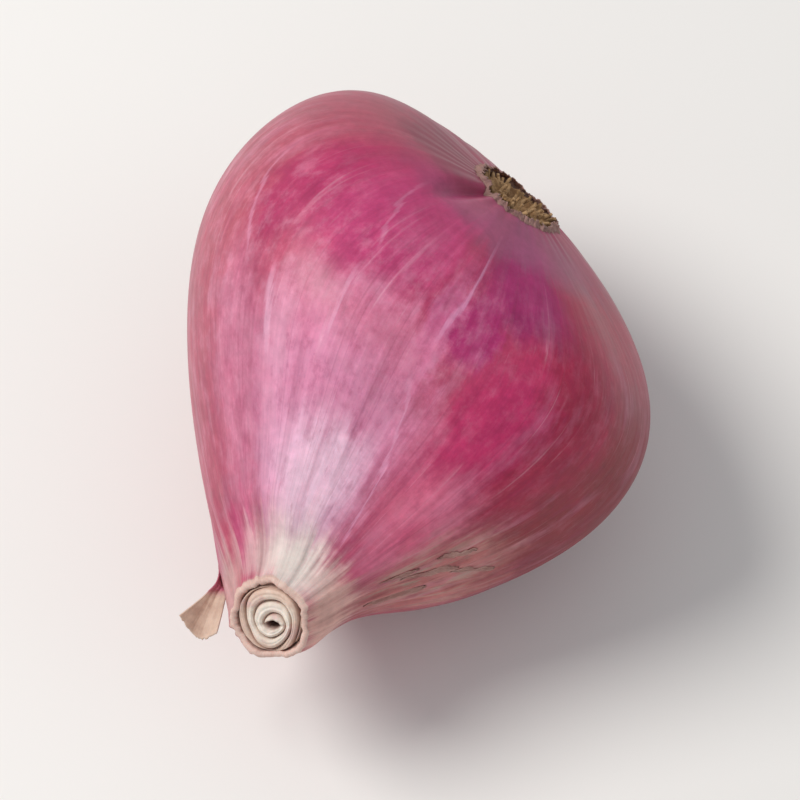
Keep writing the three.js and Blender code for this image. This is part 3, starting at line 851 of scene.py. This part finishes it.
def build_root_stubs():
    tree = bpy.data.node_groups.new("root_stubs", "GeometryNodeTree")
    for name, given in STUBS.items():
        kind = "NodeSocketInt" if isinstance(given, int) else "NodeSocketFloat"
        tree.interface.new_socket(name, in_out="INPUT", socket_type=kind)
    tree.interface.new_socket("Geometry", in_out="OUTPUT", socket_type="NodeSocketGeometry")
    graph = Graph(tree)
    given = graph.node("NodeGroupInput")
    seed = given.value("Seed")

    def random(low, high, step):
        inputs = {2: low, 3: high, "Seed": seed + step}
        return graph.node("FunctionNodeRandomValue", {"data_type": "FLOAT"}, inputs).value(1)

    index = graph.node("GeometryNodeInputIndex").value()
    share = ((index + 0.5) / given.value("Count")).math("SQRT") * 0.62 + 0.38 + random(-0.04, 0.04, 1)
    turn = index * GOLDEN_TURN + random(-0.3, 0.3, 2)
    reach = share * given.value("Ring Radius")
    cosine, sine = turn.math("COSINE"), turn.math("SINE")
    where = graph.node("ShaderNodeCombineXYZ", inputs={0: cosine * reach, 1: sine * reach, 2: STUB_BED})
    points = graph.node("GeometryNodePoints", inputs={
        "Count": given.out("Count"), "Position": where.out()})
    lean = share * STUB_SPLAY
    facing = graph.node("ShaderNodeCombineXYZ", inputs={
        0: cosine * lean + random(-0.4, 0.4, 3), 1: sine * lean + random(-0.4, 0.4, 4), 2: 1.0})
    turned = graph.node("FunctionNodeAlignRotationToVector", {"axis": "Z"}, {"Vector": facing.out()})
    line = graph.node("GeometryNodeCurvePrimitiveLine", inputs={"End": (0, 0, 1)})
    stalk = graph.node("GeometryNodeResampleCurve", inputs={"Curve": line.out(), "Count": 6})
    size = given.value("Length") * random(0.45, 1.0, 5)
    stalks = graph.node("GeometryNodeInstanceOnPoints", inputs={
        "Points": points.out(), "Instance": stalk.out(), "Rotation": turned.out(), "Scale": size})
    loose = graph.node("GeometryNodeRealizeInstances", inputs={"Geometry": stalks.out()})
    along = graph.node("GeometryNodeSplineParameter").value("Factor")
    place = graph.node("GeometryNodeInputPosition").out()
    wave = graph.node("ShaderNodeTexNoise", inputs={"Vector": place, "Scale": 0.9, "Detail": 2.0})
    centred = graph.node("ShaderNodeVectorMath", {"operation": "SUBTRACT"}, {
        0: wave.out("Color"), 1: (0.5, 0.5, 0.5)})
    bend = graph.node("ShaderNodeVectorMath", {"operation": "SCALE"}, {
        0: centred.out(), "Scale": along * along * 1.6})
    bent = graph.node("GeometryNodeSetPosition", inputs={"Geometry": loose.out(), "Offset": bend.out()})
    girth = graph.node("ShaderNodeTexNoise", inputs={"Vector": place, "Scale": 2.2}).value("Fac")
    radius = given.value("Thickness") * (1.15 - along * 0.5) * (girth * 0.9 + 0.55)
    ring = graph.node("GeometryNodeCurvePrimitiveCircle", inputs={"Resolution": 7, "Radius": 1.0})
    tubes = graph.node("GeometryNodeCurveToMesh", inputs={
        "Curve": bent.out(), "Profile Curve": ring.out(), "Scale": radius, "Fill Caps": True})
    whole = graph.node("GeometryNodeRealizeInstances", inputs={"Geometry": tubes.out()})
    finish = cork_finish("dry_roots", "B4926C", "86643F", "573B28")
    done = graph.node("GeometryNodeSetMaterial", inputs={"Geometry": whole.out(), "Material": finish})
    graph.node("NodeGroupOutput", inputs={"Geometry": done.out()})

    holder = make_mesh("root_stub_holder", np.zeros((1, 3)), [])
    modifier = holder.modifiers.new("root_stubs", "NODES")
    modifier.node_group = tree
    for socket in tree.interface.items_tree:
        if socket.in_out == "INPUT":
            modifier[socket.identifier] = STUBS[socket.name]
    mesh = bpy.data.meshes.new_from_object(holder.evaluated_get(bpy.context.evaluated_depsgraph_get()))
    bpy.data.objects.remove(holder)
    local = np.empty(len(mesh.vertices) * 3)
    mesh.vertices.foreach_get("co", local)
    x, y, z = local.reshape(-1, 3).T
    mesh.vertices.foreach_set("co", (in_seat(x, y, z) * MM).ravel())
    mesh.name = "root_stubs"
    mesh.polygons.foreach_set("use_smooth", [True] * len(mesh.polygons))
    mesh.update()
    piece = bpy.data.objects.new("root_stubs", mesh)
    bpy.context.scene.collection.objects.link(piece)
    face_outward(piece)
    return piece


root_stubs = build_root_stubs()
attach(root_stubs, "root")
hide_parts("root_plate")

# ---------------------------------------------------------------------------------------------
# Skin tatters: small shreds of the outermost skin, dried to tan paper, that still cling to the
# skin under them. Most lie along the right of the belly, a few beside the neck and underneath.


def tatter(share, degrees, long_mm, wide_mm, seed, lift=0.06, slant=0.0):
    """The grid of one shred: ragged all round, close to the skin, with sides that curl off it."""
    angle, step = np.radians(degrees), 0.01
    local = np.linalg.norm(bare_form(share, angle + step) - bare_form(share, angle)) / step
    u, v = np.meshgrid(np.linspace(0, 1, 40), np.linspace(-1, 1, 14), indexing="ij")
    outline = np.sqrt(np.maximum(np.sin(np.pi * (0.02 + 0.96 * u)), 0))
    side = np.sign(v)
    tear = 1 + 0.45 * lumps(6 * u, side, 1.0, seed) + 0.25 * lumps(20 * u, side, 1.0, seed + 0.5)
    sway = 0.3 * lumps(2.5 * u, 0 * v, 1.0, seed + 9) * wide_mm
    across = v * wide_mm / 2 * outline * tear + sway + slant * (u - 0.5) * long_mm
    ends = 0.1 * lumps(u, 5 * v, 1.0, seed + 3) * long_mm * (np.abs(2 * u - 1) ** 3)
    along = (u - 0.5) * long_mm + ends
    crumple = 0.04 * lumps(5 * u, 2 * v, 1.0, seed + 5)
    height = 0.02 + lift * np.abs(v) ** 2.5 * (0.3 + lumps(4 * u, v, 1.0, seed + 7)) + crumple
    shares = share + along / AXIS_LENGTH
    return skin_at(np.clip(shares, 0.006, 0.99), angle + across / local, height)


# The share from root to neck and the angle of each, its length and width in millimetres, and its slant.
RIGHT_SHREDS = [(0.755, 17, 3.4, 0.6, 0.3), (0.80, 24, 2.4, 0.35, 0.15), (0.705, 22, 2.4, 0.6, 0.5),
                (0.81, 7, 3.6, 0.5, 0.0), (0.69, 8, 2.6, 0.5, 0.6)]
FAR_SHREDS = [(0.83, -60, 3.6, 0.6, 0.1), (0.74, 222, 3.4, 0.5, -0.1), (0.66, -32, 3.0, 0.5, 0.2),
              (0.87, 250, 2.8, 0.6, 0.0)]
shreds = [tatter(share, degrees, long, wide, seed, slant=slant)
          for seed, (share, degrees, long, wide, slant) in enumerate(RIGHT_SHREDS + FAR_SHREDS, start=11)]
skin_tatters = make_sheets("skin_tatters", shreds, 0.04)
skin_tatters.data.materials.append(dry_skin_finish("clinging_dry_skin", "BE8E84", "A0605E", scale_mm=1.0))
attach(skin_tatters, "root")

# ---------------------------------------------------------------------------------------------
# Root skin rim: the collar of dead skin round the root plate. It is the torn edge of the outer
# scales, in a few overlapping shreds that stand off the skin and lean in over the plate's edge.


def rim_shred(start, turn, seed):
    """One torn piece of the collar, from the skin up to its ragged edge."""
    u, v = np.meshgrid(np.linspace(0, 1, 56), np.linspace(0, 1, 12), indexing="ij")
    angle = np.radians(start + turn * u)
    fade = np.sqrt(np.maximum(np.sin(np.pi * (0.01 + 0.98 * u)), 0))
    tear = 0.55 + 0.5 * lumps(turn / 9 * u, 0 * v, 1.0, seed)
    tear = tear + 0.3 * lumps(turn / 3 * u, 0 * v, 1.0, seed + 2)
    outer = PLATE_RADIUS + 0.8 + 0.3 * lumps(turn / 7 * u, 0 * v, 1.0, seed + 6)
    radius = outer - 0.9 * fade * np.maximum(tear, 0.15) * v
    foot = skin_height(angle, outer)
    rise = 0.07 + 0.3 * v * fade + 0.12 * lumps(turn / 6 * u, v, 1.0, seed + 4) * v
    return in_seat(radius * np.cos(angle), radius * np.sin(angle), foot + rise - 0.12 * (1 - v))


def skin_height(angle, radius):
    """How far out of the root plate's plane the skin lies, at places round the plate."""
    middle, outward, across, upward = SEAT
    share = np.linspace(0.004, 0.12, 60)[:, None]
    skin = skin_at(share, np.linspace(-np.pi, np.pi, 181)[None, :]).reshape(-1, 3) - middle
    out, at = skin @ outward, np.stack([skin @ across, skin @ upward], axis=1)
    wanted = np.stack([radius * np.cos(angle), radius * np.sin(angle)], axis=-1).reshape(-1, 2)
    nearest = [np.argmin(((at - place) ** 2).sum(1)) for place in wanted]
    return out[nearest].reshape(angle.shape)


RIM_SHREDS = [(-20, 80), (48, 62), (98, 90), (176, 58), (222, 74), (286, 66)]  # start and turn in degrees
collar = [rim_shred(start, turn, seed) for seed, (start, turn) in enumerate(RIM_SHREDS, start=31)]
root_skin_rim = make_sheets("root_skin_rim", collar, 0.08)
root_skin_rim.data.materials.append(dry_skin_finish("torn_skin_rim", "A27A72", "6E4444", scale_mm=1.0))
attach(root_skin_rim, "root")

# ---------------------------------------------------------------------------------------------
# Floor, lights and camera: a plain pale floor under a large soft lamp from the upper left.

floor_mesh = bpy.data.meshes.new("floor")
floor_mesh.from_pydata([(-2, -2, 0), (2, -2, 0), (2, 2, 0), (-2, 2, 0)], [], [(0, 1, 2, 3)])
floor = bpy.data.objects.new("floor", floor_mesh)
bpy.context.scene.collection.objects.link(floor)
floor_finish = Finish("pale_floor", "EDEBE8", Roughness=0.6, Specular_IOR_Level=0.2)
floor_mesh.materials.append(floor_finish.done())

world = bpy.data.worlds.new("studio")
world.use_nodes = True
world.node_tree.nodes["Background"].inputs["Color"].default_value = (0.95, 0.97, 1.0, 1)
world.node_tree.nodes["Background"].inputs["Strength"].default_value = 0.45
bpy.context.scene.world = world

BULB_LOW, BULB_HIGH = (Vector(corner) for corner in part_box("bulb"))
TARGET = (BULB_LOW + BULB_HIGH) / 2 + Vector((1.0, 0.8, -0.68)) * MM
CAMERA_AZIMUTH, CAMERA_ELEVATION = 30.2, 61.3
CAMERA_DISTANCE = 0.4


def direction(azimuth, elevation):
    """The direction from the target to something that stands at two angles, in degrees."""
    a, e = math.radians(azimuth), math.radians(elevation)
    return Vector((math.sin(a) * math.cos(e), -math.cos(a) * math.cos(e), math.sin(e)))


def aim(holder, away, distance):
    """Puts a lamp or the camera at a distance from the target, facing it."""
    holder.location = TARGET + away * distance
    holder.rotation_mode = "QUATERNION"
    holder.rotation_quaternion = (-away).to_track_quat("-Z", "Y")
    bpy.context.scene.collection.objects.link(holder)


def soft_lamp(name, azimuth, elevation, distance, size, watts, tint=(1, 1, 1)):
    lamp = bpy.data.lights.new(name, "AREA")
    lamp.shape, lamp.size, lamp.energy, lamp.color = "DISK", size, watts, tint
    aim(bpy.data.objects.new(name, lamp), direction(azimuth, elevation), distance)


soft_lamp("key", azimuth=-70, elevation=52, distance=0.5, size=0.26, watts=2.0, tint=(1, 0.98, 0.95))
soft_lamp("fill", azimuth=110, elevation=30, distance=0.6, size=0.4, watts=0.25, tint=(0.95, 0.97, 1))

camera_data = bpy.data.cameras.new("camera")
camera_data.lens = 240
camera_data.sensor_width = 36
camera = bpy.data.objects.new("camera", camera_data)
aim(camera, direction(CAMERA_AZIMUTH, CAMERA_ELEVATION), CAMERA_DISTANCE)
bpy.context.scene.camera = camera
bpy.context.scene.view_settings.view_transform = "Standard"
